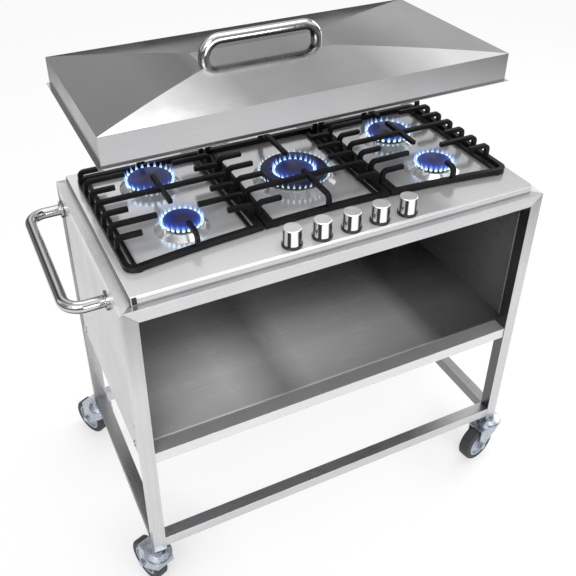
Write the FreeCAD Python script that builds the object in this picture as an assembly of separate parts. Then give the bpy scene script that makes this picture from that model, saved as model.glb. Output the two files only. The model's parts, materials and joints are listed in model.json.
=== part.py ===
import FreeCAD, Part
import math
import os

from FreeCAD import Rotation, Vector

# Cart frame: legs and bottom rails of square tube, counter and shelf rails of angle of the same width
cart_width = 950.0
cart_depth = 515.0
counter_height = 820.0
bar_width = 28.0
bar_gauge = 2.0
panel_gauge = 1.0
panel_hem = 19.0
hem_gauge = 1.0
shelf_level = 440.0
shelf_gauge = 1.2
shelf_ledge = 44.0
shelf_setback = 36.0
bottom_rail_level = 163.0

# Rivets that close the hems and hold the panels to the shelf rails
rivet_radius = 2.0
rivet_head_radius = 4.0
rivet_tail_radius = 3.0
rivet_head_height = 1.5
rivet_rise = 60.0
rivet_hem_inset = 36.0
rivet_rail_inset = 59.0
rivet_rail_drops = (8.0, 20.0)

# Push handle on the left side
handle_drop = 62.0
handle_front_inset = 129.5
handle_rear_inset = 20.5
handle_standoff = 77.0
handle_tube_radius = 12.5
handle_tube_gauge = 1.5
handle_bend = 38.0
handle_flange_radius = 20.0
handle_flange_gauge = 5.0
handle_screw_radius = 2.6
handle_screw_height = 2.0
handle_screw_count = 3

# Casters
caster_headings = {"fl": 108.0, "fr": 192.0, "rl": 115.0, "rr": 70.0}
caster_height = 125.0
caster_inset = 9.0
caster_pad_gauge = 4.0
stem_radius = 5.0
stem_head_radius = 8.0
stem_head_height = 5.0
stem_show = 2.0
stem_nut_flats = 21.0
stem_nut_height = 7.0
raceway_radius = 32.0
raceway_height = 4.5
raceway_gap = 0.5
dome_lip = 3.0
dome_edge = 1.5
dome_top_radius = 17.0
fork_trail = 40.0
fork_gauge = 2.5
fork_gap = 38.0
fork_crown_gauge = 3.0
fork_nose = 27.0
fork_heel = 11.0
fork_toe = 10.0
fork_apron = 15.0
wheel_radius = 50.0
wheel_width = 32.0
wheel_shoulder = 6.0
hub_radius = 36.0
hub_rim = 5.0
hub_rim_recess = 1.0
hub_web_width = 20.0
hub_boss_radius = 12.0
axle_radius = 5.0
axle_head_flats = 16.0
axle_head_height = 6.0
side_play = 0.5
running_clearance = 0.05
cut_over = 1.0
seat_gap = 0.3

# Hob
hob_side_margin = 20.0
hob_front_margin = 15.0
hob_height = 18.0
hob_gauge = 1.2
hob_corner = 6.0
hob_edge = 3.0
box_side_clearance = 4.0
box_front_clearance = 3.0
box_drop = 55.0
box_gauge = 1.0
stop_width = 9.0
stop_height = 14.0
stop_gauge = 3.0
stop_inset = 8.0

# Burners: place as a share of the hob's half width and half depth, cap radius, outer ring radius or zero
burner_plan = {
    "front_left": (-0.640, -0.280, 38.0, 0.0),
    "rear_left": (-0.653, 0.478, 48.0, 0.0),
    "centre": (0.007, 0.066, 42.0, 75.0),
    "rear_right": (0.637, 0.346, 48.0, 0.0),
    "front_right": (0.664, -0.363, 38.0, 0.0),
}
cup_skirt = 19.0
cup_lip = 4.0
cup_height = 9.0
cup_gauge = 1.2
neck_radius = 20.0
neck_bore = 8.0
neck_drop = 38.0
neck_clearance = 1.0
crown_height = 9.0
crown_wall = 11.0
crown_floor = 2.0
crown_step = 4.0
port_count = 24
ring_port_count = 40
port_width = 2.6
port_height = 4.0
cap_height = 5.0
cap_dome = 1.5
cap_edge = 2.5
cap_chamfer = 0.8
ring_cap_width = 22.0
pin_radius = 2.5
pin_height = 19.0
pin_offset = 9.0
igniter_angle = 205.0
sensor_angle = 325.0

# Knobs and gas valves
knob_row_x = 12.5
knob_row_inset = 24.5
knob_pitch = 66.4
knob_count = 5
knob_radius = 19.5
knob_top_radius = 18.5
knob_top_level = 41.0
knob_edge = 2.0
shaft_end_gap = 0.5
knob_push = 3.0
knob_rest_gap = 4.5
knob_socket_depth = 29.0
bezel_wall = 1.0
bezel_gap = 0.5
bezel_height = 6.0
shaft_radius = 4.0
shaft_flat = 2.6
shaft_hole_clearance = 2.0
plug_radius = 6.0
plug_length = 14.0
valve_width = 24.0
valve_front = 7.0
valve_rear = 12.0
valve_gap = 7.0
valve_plug_drop = 14.0
pipe_radius = 7.0
pipe_drop = 44.5
pipe_overhang = 30.0
pipe_side_inset = 55.0
pipe_bend = 35.0
feed_radius = 3.0
feed_rise = 14.0
feed_start = 18.0
feed_bend = 10.0
inlet_radius = 10.48
inlet_length = 18.0
inlet_bore = 6.0
inlet_flats = 26.0
inlet_nut_height = 7.0
inlet_sleeve_radius = 10.0
inlet_hole_radius = 11.5

# Pan supports in three sections
grate_side_margin = 15.0
grate_back_margin = 42.5
grate_joint = 4.0
grate_front_gap = 71.0
grate_front_sweep = 34.0
grate_bar = 11.0
grate_bar_height = 12.0
grate_foot = 2.0
grate_foot_size = 10.0
grate_corner = 22.0
grate_top = 42.0
grate_seat_gap = 0.1
ledge_gap = 8.0
ledge_width = 7.0
ledge_height = 5.0
finger_width = 9.0
finger_depth = 9.5
finger_bend = 15.0
finger_count = 7
finger_back_inset = 26.0
finger_front_inset = 43.0
centre_finger_shares = (0.0, 0.26, 0.44, 0.62, 0.80, 1.0)
short_reach = 56.0
rear_reach = 90.0
front_reach = 101.0
ring_reach = 62.0
spur_half = 58.0
tip_overlap = 4.0

# Lid that lifts up and back off the hob
lid_side_margin = 10.0
lid_back_margin = 20.0
lid_knob_gap = 3.0
lid_skirt = 61.0
lid_gauge = 1.0
lid_flange = 6.0
lid_rise = 20.0
lid_bow_share = 0.45
lid_bow_rise = 0.60
lid_flat_length = 290.0
lid_flat_depth = 90.0
lid_peak_offset = -36.0
lid_shift_back = 79.5
lid_lift = 194.0
lid_handle_span = 258.0
lid_handle_height = 38.0
lid_handle_radius = 12.5
lid_handle_bend = 34.0

# Sizes that follow from the ones above
half_width = cart_width / 2
half_depth = cart_depth / 2
hob_half_x = half_width - hob_side_margin
hob_half_y = half_depth - hob_front_margin
hob_top = counter_height + hob_height
hob_under = hob_top - hob_gauge
burner_places = {name: (x * hob_half_x, y * hob_half_y, radius, ring)
                 for name, (x, y, radius, ring) in burner_plan.items()}
knob_row_y = -hob_half_y + knob_row_inset
handle_level = counter_height - handle_drop
handle_front_y = -half_depth + handle_front_inset
handle_rear_y = half_depth - handle_rear_inset
pipe_side_x = hob_half_x - pipe_side_inset
grate_half_width = hob_half_x - grate_side_margin
grate_inner_half = (2 * grate_half_width - 2 * grate_joint) / 6
grate_back = hob_half_y - grate_back_margin
grate_front_middle = knob_row_y + grate_front_gap
finger_back = grate_back - finger_back_inset
finger_front = grate_front_middle + finger_front_inset
finger_pitch = (finger_back - finger_front) / (finger_count - 1)
side_fingers = [finger_back - k * finger_pitch for k in range(finger_count)]
centre_fingers = [finger_back - share * (finger_back - finger_front) for share in centre_finger_shares]
lid_half_width = hob_half_x - lid_side_margin
lid_front = knob_row_y + knob_radius + lid_flange + lid_knob_gap
lid_back = hob_half_y - lid_back_margin
sides = (-1, 1)


def box(x0, x1, y0, y1, z0, z1):
    low = Vector(min(x0, x1), min(y0, y1), min(z0, z1))
    return Part.makeBox(abs(x1 - x0), abs(y1 - y0), abs(z1 - z0), low)


def rod(radius, start, end):
    foot = Vector(*start)
    run = Vector(*end).sub(foot)
    return Part.makeCylinder(radius, run.Length, foot, run)


def prism(points, push):
    corners = [Vector(*p) for p in points]
    face = Part.Face(Part.makePolygon(corners + corners[:1]))
    return face.extrude(Vector(*push))


def hexagon(flats, start, height, axis):
    """A hexagonal head or nut with its axis along X, Y or Z."""
    reach = flats / math.sqrt(3)
    turn = {"x": Rotation(Vector(0, 1, 0), 90), "y": Rotation(Vector(1, 0, 0), -90), "z": Rotation()}[axis]
    ring = []
    for k in range(6):
        angle = math.radians(60 * k)
        spoke = turn.multVec(Vector(reach * math.cos(angle), reach * math.sin(angle), 0))
        ring.append(tuple(spoke.add(Vector(*start))))
    return prism(ring, tuple(turn.multVec(Vector(0, 0, height))))


def turned(profile, x=0.0, y=0.0):
    """A solid of revolution about the vertical line at x, y from radius and height pairs."""
    corners = [Vector(r, 0, z) for r, z in profile]
    face = Part.Face(Part.makePolygon(corners + corners[:1]))
    solid = face.revolve(Vector(0, 0, 0), Vector(0, 0, 1), 360)
    solid.translate(Vector(x, y, 0))
    return solid


def rounded_slab(x0, x1, y0, y1, z0, z1, corner):
    slab = box(x0, x1, y0, y1, z0, z1)
    upright = [e for e in slab.Edges if abs(e.Vertexes[0].Z - e.Vertexes[-1].Z) > (z1 - z0) / 2]
    return slab.makeFillet(corner, upright)


def bent_path(points, bend):
    """Straight runs joined by tangent arcs."""
    stops = [Vector(*p) for p in points]
    edges = []
    here = stops[0]
    for before, corner, after in zip(stops, stops[1:], stops[2:]):
        into = before.sub(corner).normalize()
        onward = after.sub(corner).normalize()
        half = into.getAngle(onward) / 2
        tangent = bend / math.tan(half)
        first = corner.add(into * tangent)
        last = corner.add(onward * tangent)
        inward = into.add(onward).normalize()
        middle = corner.add(inward * (bend / math.sin(half) - bend))
        edges.append(Part.LineSegment(here, first).toShape())
        edges.append(Part.Arc(first, middle, last).toShape())
        here = last
    edges.append(Part.LineSegment(here, stops[-1]).toShape())
    return Part.Wire(edges)


def bent_rod(points, bend, radius):
    path = bent_path(points, bend)
    start = Vector(*points[0])
    along = Vector(*points[1]).sub(start)
    ring = Part.Wire([Part.Circle(start, along, radius).toShape()])
    return path.makePipeShell([ring], True, False)


def fused(solids):
    solids = list(solids)
    return solids[0].multiFuse(solids[1:]).removeSplitter() if len(solids) > 1 else solids[0]


def group(solids):
    return Part.makeCompound([s for shape in solids for s in shape.Solids])


def around(shape, x, y, degrees):
    """A copy built about the vertical axis, turned and carried to x, y."""
    copy = shape.copy()
    copy.rotate(Vector(0, 0, 0), Vector(0, 0, 1), degrees)
    copy.translate(Vector(x, y, 0))
    return copy


def save(name, shape):
    bad = [s for s in shape.Solids if not s.isValid()]
    print(name, len(shape.Solids), "solids", round(shape.Volume), "mm3", "INVALID" if bad else "")
    shape.exportStep("parts/%s.step" % name)


os.makedirs("parts", exist_ok=True)


# Places shared by several pieces
burners = list(burner_places.values())
knob_xs = [knob_row_x + (k - (knob_count - 1) / 2) * knob_pitch for k in range(knob_count)]
pipe_level = counter_height - pipe_drop
box_bottom = counter_height - box_drop
box_half_x = half_width - bar_width - box_side_clearance
box_half_y = half_depth - bar_width - box_front_clearance
casters = {}
for name, heading in caster_headings.items():
    side, end = 1 if name[1] == "r" else -1, -1 if name[0] == "f" else 1
    casters[name] = (side * (half_width - caster_inset), end * (half_depth - caster_inset), heading)


# Frame
def upright_plate_x(sy, points):
    """A plate in the face y = sy * half_depth, from x and height pairs."""
    y = sy * half_depth
    return prism([(x, y, z) for x, z in points], (0, -sy * bar_gauge, 0))


def upright_plate_y(sx, points):
    x = sx * half_width
    return prism([(x, y, z) for y, z in points], (-sx * bar_gauge, 0, 0))


def top_rail_long(sy):
    low = counter_height - bar_width
    inner = half_width - bar_width
    apron = upright_plate_x(sy, [(-half_width, counter_height), (half_width, counter_height),
                                 (inner, low), (-inner, low)])
    y0 = sy * half_depth
    y1 = sy * (half_depth - bar_width)
    deck = prism([(-half_width, y0, counter_height), (half_width, y0, counter_height),
                  (inner, y1, counter_height), (-inner, y1, counter_height)], (0, 0, -bar_gauge))
    return fused([apron, deck])


def top_rail_short(sx):
    low = counter_height - bar_width
    inner = half_depth - bar_width
    apron = upright_plate_y(sx, [(-half_depth, counter_height), (half_depth, counter_height),
                                 (inner, low), (-inner, low)])
    x0 = sx * half_width
    x1 = sx * (half_width - bar_width)
    deck = prism([(x0, -half_depth, counter_height), (x0, half_depth, counter_height),
                  (x1, inner, counter_height), (x1, -inner, counter_height)], (0, 0, -bar_gauge))
    return fused([apron, deck])


top_long = [top_rail_long(sy) for sy in sides]
top_short = [top_rail_short(sx).cut(group(top_long)) for sx in sides]


def leg(sx, sy):
    """Square tube, mitred to the counter rails on its two outer sides, with a pad at its foot."""
    foot = caster_height
    head = counter_height - bar_width
    x0, x1 = sx * half_width, sx * (half_width - bar_width)
    y0, y1 = sy * half_depth, sy * (half_depth - bar_width)
    face = upright_plate_x(sy, [(x0, foot), (x1, foot), (x1, head), (x0, counter_height)])
    flank = upright_plate_y(sx, [(y0, foot), (y1, foot), (y1, head), (y0, counter_height)])
    inner_face = box(x0, x1, y1, y1 + sy * bar_gauge, foot, head)
    inner_flank = box(x1, x1 + sx * bar_gauge, y0, y1, foot, head)
    pad = box(x0, x1, y0, y1, foot, foot + caster_pad_gauge)
    x, y = sx * (half_width - caster_inset), sy * (half_depth - caster_inset)
    hole = rod(stem_radius, (x, y, foot - 1), (x, y, foot + caster_pad_gauge + 1))
    return fused([face, flank, inner_face, inner_flank, pad]).cut(hole).cut(group(top_long + top_short))


def rail_long(sy, inset, level, ledge, half_length):
    """An angle along X: upright flange outside, ledge on top pointing inwards."""
    y0 = sy * (half_depth - inset)
    upright = box(-half_length, half_length, y0, y0 - sy * bar_gauge, level - bar_width, level)
    top = box(-half_length, half_length, y0, y0 - sy * ledge, level - bar_gauge, level)
    return fused([upright, top])


def rail_short(sx, inset, level, ledge, y_front, y_rear):
    x0 = sx * (half_width - inset)
    upright = box(x0, x0 - sx * bar_gauge, y_front, y_rear, level - bar_width, level)
    top = box(x0, x0 - sx * ledge, y_front, y_rear, level - bar_gauge, level)
    return fused([upright, top])


def square_tube(x0, x1, y0, y1, under, top, along):
    """A level tube with open ends along X or Y."""
    wall_x, wall_y = (0, bar_gauge) if along == "x" else (bar_gauge, 0)
    hollow = box(x0 + wall_x, x1 - wall_x, y0 + wall_y, y1 - wall_y, under + bar_gauge, top - bar_gauge)
    return box(x0, x1, y0, y1, under, top).cut(hollow)


panel_in = bar_gauge + panel_gauge
between_x, between_y = half_width - bar_width, half_depth - bar_width
shelf_long = [rail_long(-1, bar_gauge, shelf_level, shelf_ledge, between_x),
              rail_long(1, panel_in, shelf_level, bar_width, between_x)]
shelf_short = [rail_short(sx, panel_in, shelf_level, bar_width - panel_in, -between_y, between_y) for sx in sides]
low_under = bottom_rail_level - bar_width
low_long = [square_tube(-between_x, between_x, y, y + bar_width, low_under, bottom_rail_level, "x")
            for y in (-half_depth, between_y)]
low_short = [square_tube(x, x + bar_width, -between_y, between_y, low_under, bottom_rail_level, "y")
             for x in (-half_width, between_x)]

panel_foot = shelf_level - bar_width
panel_head = counter_height - bar_gauge
hem_foot = shelf_level


def side_panel(sx):
    """A sheet between the legs with a folded hem inside each upright edge."""
    outside, inside = sx * (half_width - bar_gauge), sx * (half_width - panel_in)
    sheet = box(outside, inside, -between_y, between_y, panel_foot, panel_head)
    hems = [box(inside, inside - sx * hem_gauge, sy * between_y, sy * (between_y - panel_hem), hem_foot, panel_head)
            for sy in sides]
    return fused([sheet] + hems)


side_panels = [side_panel(sx) for sx in sides]
back_outside, back_inside = half_depth - bar_gauge, half_depth - panel_in
back_sheet = box(-between_x, between_x, back_outside, back_inside, panel_foot, panel_head)
back_hems = [box(sx * between_x, sx * (between_x - panel_hem), back_inside, back_inside - hem_gauge,
                 hem_foot, panel_head) for sx in sides]
back_panel = fused([back_sheet] + back_hems)
back_panel = back_panel.cut(rod(inlet_hole_radius, (pipe_side_x, back_inside - cut_over, pipe_level),
                                (pipe_side_x, back_outside + cut_over, pipe_level)))
shelf_edge = half_width - panel_in - hem_gauge
shelf_back = back_inside - hem_gauge
shelf = box(-shelf_edge, shelf_edge, -half_depth + bar_gauge + shelf_setback, shelf_back,
            shelf_level, shelf_level + shelf_gauge)
shelf = shelf.cut(group(box(sx * between_x, sx * half_width, between_y, half_depth, shelf_level - cut_over,
                            shelf_level + shelf_gauge + cut_over) for sx in sides))


def rivet(spot, outward, grip):
    """Shank through the sheets with a domed head outside and a formed tail inside."""
    away = Vector(*outward)
    face = Vector(*spot)
    inner = face.sub(away * grip)
    shank = Part.makeCylinder(rivet_radius, grip, inner, away)
    head = Part.makeCone(rivet_head_radius, rivet_radius, rivet_head_height, face, away)
    tail = Part.makeCylinder(rivet_tail_radius, rivet_head_height, inner, away * -1)
    return fused([shank, head, tail])


rivet_level = shelf_level + rivet_rise
rail_levels = [shelf_level - drop for drop in rivet_rail_drops]
rail_grip = panel_gauge + bar_gauge
hem_grip = panel_gauge + hem_gauge
panel_x, panel_y = half_width - bar_gauge, half_depth - bar_gauge
rivets = []
for sx in sides:
    side, back = (sx, 0, 0), (0, 1, 0)
    for sy in sides:
        rivets.append(rivet((sx * panel_x, sy * (half_depth - rivet_hem_inset), rivet_level), side, hem_grip))
    rivets.append(rivet((sx * (half_width - rivet_hem_inset), panel_y, rivet_level), back, hem_grip))
    for level in rail_levels:
        for sy in sides:
            rivets.append(rivet((sx * panel_x, sy * (half_depth - rivet_rail_inset), level), side, rail_grip))
        rivets.append(rivet((sx * (half_width - rivet_rail_inset), panel_y, level), back, rail_grip))
rivet_group = group(rivets)
front_legs = [leg(sx, -1) for sx in sides]
rear_legs = [leg(sx, 1) for sx in sides]
side_panels = [p.cut(rivet_group) for p in side_panels]
back_panel = back_panel.cut(rivet_group)
shelf_long = [r.cut(rivet_group) for r in shelf_long]
shelf_short = [r.cut(rivet_group) for r in shelf_short]

save("front_legs", group(front_legs))
save("rear_legs", group(rear_legs))
save("top_rails_long", group(top_long))
save("top_rails_short", group(top_short))
save("shelf_rails_long", group(shelf_long))
save("shelf_rails_short", group(shelf_short))
save("bottom_rails_long", group(low_long))
save("bottom_rails_short", group(low_short))
save("left_panel", side_panels[0])
save("right_panel", side_panels[1])
save("back_panel", back_panel)
save("shelf", shelf)
save("panel_rivets", rivet_group)


# Push handle: the rear foot stands on the leg, the front foot on the panel
handle_out = -half_width - handle_standoff
rear_seat = -half_width
front_seat = -half_width + bar_gauge
rear_foot = rear_seat - handle_flange_gauge
front_foot = front_seat - handle_flange_gauge
handle_route = [(front_foot, handle_front_y, handle_level), (handle_out, handle_front_y, handle_level),
                (handle_out, handle_rear_y, handle_level), (rear_foot, handle_rear_y, handle_level)]
tube = bent_rod(handle_route, handle_bend, handle_tube_radius)
tube = tube.cut(bent_rod(handle_route, handle_bend, handle_tube_radius - handle_tube_gauge))
handle_ends = ((front_seat, front_foot, handle_front_y), (rear_seat, rear_foot, handle_rear_y))
flanges = [rod(handle_flange_radius, (seat, y, handle_level), (foot, y, handle_level))
           for seat, foot, y in handle_ends]
screw_ring = (handle_flange_radius + handle_tube_radius) / 2
screws = []
for seat, foot, y in handle_ends:
    for k in range(handle_screw_count):
        angle = math.radians(90 + 360 * k / handle_screw_count)
        sy, sz = y + screw_ring * math.cos(angle), handle_level + screw_ring * math.sin(angle)
        screws.append(rod(handle_screw_radius, (foot, sy, sz), (foot - handle_screw_height, sy, sz)))
save("push_handle", tube)
save("handle_flanges", group(flanges))
save("handle_screws", group(screws))


# Casters, built with the swivel axis at the origin and the wheel trailing along +X
nut_top = caster_height - stem_show
raceway_top = nut_top - stem_nut_height
raceway_split = raceway_top - raceway_height
fork_deck = raceway_split - raceway_gap - raceway_height
fork_under = fork_deck - fork_crown_gauge
head_top = fork_under - seat_gap
plate_out = fork_gap / 2 + fork_gauge
dome_radius = raceway_radius - dome_lip
stem = fused([
    rod(stem_radius, (0, 0, head_top - stem_head_height), (0, 0, caster_height + caster_pad_gauge)),
    rod(stem_head_radius, (0, 0, head_top - stem_head_height), (0, 0, head_top)),
    turned([(0, raceway_split), (dome_radius, raceway_split), (dome_radius, raceway_split + dome_edge),
            (dome_top_radius, raceway_top), (0, raceway_top)]),
    hexagon(stem_nut_flats, (0, 0, raceway_top), stem_nut_height, "z"),
])


def caster_fork():
    heel = fork_trail + fork_heel
    foot = wheel_radius - fork_toe
    apron_low = fork_deck - fork_apron
    outline = [(-fork_nose, fork_deck), (heel, fork_deck), (heel - 1, wheel_radius - fork_toe / 2),
               (fork_trail + fork_toe / 3, foot), (fork_trail - fork_toe, foot), (-fork_nose, apron_low)]
    plates = [prism([(x, sy * fork_gap / 2, z) for x, z in outline], (0, sy * fork_gauge, 0)) for sy in sides]
    crown = box(-fork_nose, heel, -plate_out, plate_out, fork_under, fork_deck)
    apron = box(-fork_nose, -fork_nose + fork_gauge, -plate_out, plate_out, apron_low, fork_deck)
    disc = rod(raceway_radius, (0, 0, fork_deck), (0, 0, raceway_split - raceway_gap))
    shape = fused([crown, apron, disc] + plates)
    shape = shape.cut(rod(stem_radius + running_clearance, (0, 0, fork_under - 1), (0, 0, raceway_split)))
    return shape.cut(rod(axle_radius, (fork_trail, -plate_out - 1, wheel_radius),
                         (fork_trail, plate_out + 1, wheel_radius)))


axle = fused([
    rod(axle_radius, (fork_trail, -plate_out - axle_head_height, wheel_radius),
        (fork_trail, plate_out + axle_head_height, wheel_radius)),
    hexagon(axle_head_flats, (fork_trail, plate_out, wheel_radius), axle_head_height, "y"),
    hexagon(axle_head_flats, (fork_trail, -plate_out - axle_head_height, wheel_radius), axle_head_height, "y"),
])


def wheel_ring(outer, inner, width, shoulder):
    ring = rod(outer, (fork_trail, -width / 2, wheel_radius), (fork_trail, width / 2, wheel_radius))
    if shoulder:
        rims = [e for e in ring.Edges if isinstance(e.Curve, Part.Circle)]
        ring = ring.makeFillet(shoulder, rims)
    return ring.cut(rod(inner, (fork_trail, -width, wheel_radius), (fork_trail, width, wheel_radius)))


hub_bore = axle_radius + running_clearance
hub = fused([
    wheel_ring(hub_radius, hub_radius - hub_rim, wheel_width - 2 * hub_rim_recess, 0),
    wheel_ring(hub_radius, hub_bore, hub_web_width, 0),
    wheel_ring(hub_boss_radius, hub_bore, fork_gap - 2 * side_play, 0),
])
caster_pieces = {"fork": caster_fork(), "axle": axle, "hub": hub,
                 "tyre": wheel_ring(wheel_radius, hub_radius, wheel_width, wheel_shoulder)}
save("caster_stems", group([around(stem, x, y, 0) for x, y, heading in casters.values()]))
for name, (x, y, heading) in casters.items():
    for piece, shape in caster_pieces.items():
        save("caster_%s_%s" % (name, piece), around(shape, x, y, heading))


# Hob pan: a pressed tray that stands on the counter deck
def hob_shell():
    hx, hy = hob_half_x, hob_half_y
    outer = rounded_slab(-hx, hx, -hy, hy, counter_height, hob_top, hob_corner)
    rim = [e for e in outer.Edges if min(v.Z for v in e.Vertexes) > hob_top - 0.01]
    outer = outer.makeFillet(hob_edge, rim)
    g = hob_gauge
    inner = rounded_slab(-hx + g, hx - g, -hy + g, hy - g, counter_height - 1, hob_under, hob_corner - g)
    roof = [e for e in inner.Edges if min(v.Z for v in e.Vertexes) > hob_under - 0.01]
    inner = inner.makeFillet(hob_edge - g, roof)
    drilled = [(x, y, neck_radius + neck_clearance) for x, y, radius, ring in burners]
    drilled += [(x, knob_row_y, shaft_radius + shaft_hole_clearance) for x in knob_xs]
    holes = [rod(radius, (x, y, counter_height), (x, y, hob_top + 1)) for x, y, radius in drilled]
    return outer.cut(inner).cut(group(holes))


pipe_route = [(knob_xs[0] - pipe_overhang, knob_row_y, pipe_level), (pipe_side_x, knob_row_y, pipe_level),
              (pipe_side_x, half_depth - panel_in - 4, pipe_level)]
pipe = bent_rod(pipe_route, pipe_bend, pipe_radius)
tray = box(-box_half_x, box_half_x, -box_half_y, box_half_y, box_bottom, hob_under)
hollow_x, hollow_y = box_half_x - box_gauge, box_half_y - box_gauge
tray = tray.cut(box(-hollow_x, hollow_x, -hollow_y, hollow_y, box_bottom + box_gauge, hob_top))
tray = tray.cut(pipe)
stop_x = -hob_half_x + stop_inset
save("hob_pan", hob_shell())
save("hob_stop", box(stop_x - stop_width / 2, stop_x + stop_width / 2, -hob_half_y - stop_gauge, -hob_half_y,
                     hob_top - stop_height, hob_top))
save("burner_box", tray)


# Burners
feed_level = pipe_level + feed_rise
feeds = []
for x, (bx, by, radius, ring) in zip(knob_xs, burners):
    bend_at = (x, knob_row_y + valve_rear + feed_start, feed_level)
    away = Vector(bx - bend_at[0], by - bend_at[1], 0).normalize()
    end = (bx - away.x * neck_bore, by - away.y * neck_bore, feed_level)
    feeds.append(bent_rod([(x, knob_row_y + valve_rear, feed_level), bend_at, end], feed_bend, feed_radius))
feed_group = group(feeds)


def pins(bx, by, reach):
    posts = []
    for angle in (igniter_angle, sensor_angle):
        x = bx + (reach + pin_offset) * math.cos(math.radians(angle))
        y = by + (reach + pin_offset) * math.sin(math.radians(angle))
        posts.append(rod(pin_radius, (x, y, hob_top), (x, y, hob_top + pin_height)))
    return posts


def cup(bx, by, reach):
    """Steel skirt on the hob round the burner neck, which hangs through the hob."""
    low, high = hob_top, hob_top + cup_height
    g = cup_gauge
    skirt = turned([(reach + cup_skirt, low), (reach + cup_lip, high), (neck_bore, high), (neck_bore, high - g),
                    (reach + cup_lip - g / 2, high - g), (reach + cup_skirt - 2 * g, low)], bx, by)
    neck = turned([(neck_bore, counter_height - neck_drop), (neck_radius, counter_height - neck_drop),
                   (neck_radius, high), (neck_bore, high)], bx, by)
    floor = rod(neck_radius, (bx, by, counter_height - neck_drop), (bx, by, counter_height - neck_drop + g))
    return fused([skirt, neck, floor])


def ports(bx, by, reach, count, top):
    cuts = []
    for k in range(count):
        half = port_width / 2
        slot = box(reach - crown_wall - 1, reach + 1, -half, half, top - port_height, top + 1)
        cuts.append(around(slot, bx, by, 360 * k / count))
    return group(cuts)


def crown(bx, by, reach, floor_radius, low, count):
    outer = reach - 1.5
    inner = outer - crown_wall
    top = low + crown_height
    body = turned([(floor_radius, low), (outer, low), (outer, top), (inner, top), (inner, low + crown_floor),
                   (floor_radius, low + crown_floor)], bx, by)
    return body.cut(ports(bx, by, outer, count, top))


def cap(bx, by, reach, low, bore):
    top = low + cap_height
    edge = [(reach - cap_chamfer, low), (reach, low + cap_edge), (reach - cap_edge, top)]
    if bore:
        return turned([(bore, low)] + edge + [(bore, top)], bx, by)
    return turned([(0, low)] + edge + [(0, top + cap_dome)], bx, by)


cups, crowns, caps, posts = [], [], [], []
crown_seat = hob_top + cup_height
for bx, by, radius, ring in burners:
    reach = max(radius, ring)
    posts += pins(bx, by, reach)
    cups.append(cup(bx, by, reach))
    if ring:
        crowns.append(crown(bx, by, ring, ring - ring_cap_width, crown_seat, ring_port_count))
        caps.append(cap(bx, by, ring, crown_seat + crown_height, ring - ring_cap_width))
    seat = crown_seat
    crowns.append(crown(bx, by, radius, neck_bore, seat, port_count))
    caps.append(cap(bx, by, radius, seat + crown_height, 0))
pin_group = group(posts)
save("burner_cups", group([c.cut(feed_group).cut(pin_group) for c in cups]))
save("burner_crowns", group(crowns))
save("burner_caps", group(caps))
save("igniter_pins", pin_group)


# Gas line: manifold pipe with five feeds, valves, inlet, shafts and knobs
inlet_face = half_depth - bar_gauge
spigot_start = inlet_face + inlet_nut_height
spigot_end = spigot_start + inlet_length
sleeve_start = box_half_y + box_gauge
inlet = fused([
    rod(inlet_sleeve_radius, (pipe_side_x, sleeve_start, pipe_level), (pipe_side_x, spigot_start, pipe_level)),
    hexagon(inlet_flats, (pipe_side_x, inlet_face, pipe_level), inlet_nut_height, "y"),
    rod(inlet_radius, (pipe_side_x, spigot_start, pipe_level), (pipe_side_x, spigot_end, pipe_level)),
])
bore = rod(inlet_bore, (pipe_side_x, 0, pipe_level), (pipe_side_x, spigot_end + cut_over, pipe_level))
inlet = inlet.cut(bore).cut(pipe)
save("gas_pipes", group([pipe] + feeds))
save("gas_inlet", inlet)

valve_top = hob_under - valve_gap
plug_top = valve_top - valve_plug_drop
plug_low = plug_top - plug_length
knob_low = hob_top + knob_rest_gap
knob_top = hob_top + knob_top_level
socket_top = knob_low + knob_socket_depth
shaft_top = socket_top - knob_push - shaft_end_gap
valves = []
for x in knob_xs:
    body = box(x - valve_width / 2, x + valve_width / 2, knob_row_y - valve_front, knob_row_y + valve_rear,
               pipe_level, valve_top)
    bore = rod(shaft_radius + running_clearance, (x, knob_row_y, plug_low), (x, knob_row_y, valve_top + 1))
    chamber = rod(plug_radius + running_clearance, (x, knob_row_y, plug_low - running_clearance),
                  (x, knob_row_y, plug_top + running_clearance))
    valves.append(body.cut(bore).cut(chamber).cut(pipe))
save("valve_bodies", group(valves))

bezel_in = knob_radius + bezel_gap
bezel_out, bezel_top = bezel_in + bezel_wall, hob_top + bezel_height
bezel = turned([(bezel_in, hob_top), (bezel_out, hob_top), (bezel_out, bezel_top), (bezel_in, bezel_top)])
save("knob_bezels", group([around(bezel, x, knob_row_y, 0) for x in knob_xs]))


def d_shaft(radius, flat, low, high):
    """A round shaft with one flat, so that knob and shaft turn together."""
    wide = radius + 1
    return rod(radius, (0, 0, low), (0, 0, high)).cut(box(flat, wide, -wide, wide, low - 1, high + 1))


def knob():
    body = turned([(0, knob_low), (knob_radius, knob_low), (knob_top_radius, knob_top), (0, knob_top)])
    rim = [e for e in body.Edges if e.Closed and min(v.Z for v in e.Vertexes) > knob_top - 0.01]
    body = body.makeFillet(knob_edge, rim)
    radius, flat = shaft_radius + running_clearance, shaft_flat + running_clearance
    return body.cut(d_shaft(radius, flat, knob_low - 1, socket_top))


shaft = fused([
    d_shaft(shaft_radius, shaft_flat, valve_top, shaft_top),
    rod(shaft_radius, (0, 0, plug_low), (0, 0, valve_top)),
    rod(plug_radius, (0, 0, plug_low), (0, 0, plug_top)),
])
for number, x in enumerate(knob_xs, 1):
    save("valve_shaft_%d" % number, around(shaft, x, knob_row_y, 0))
    save("knob_%d" % number, around(knob(), x, knob_row_y, 0))


# Pan supports
front_radius = (grate_half_width ** 2 + grate_front_sweep ** 2) / (2 * grate_front_sweep)
grate_low = hob_top + grate_seat_gap
bar_low = grate_low + grate_foot
bar_high = bar_low + grate_bar_height
finger_high = hob_top + grate_top


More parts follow.
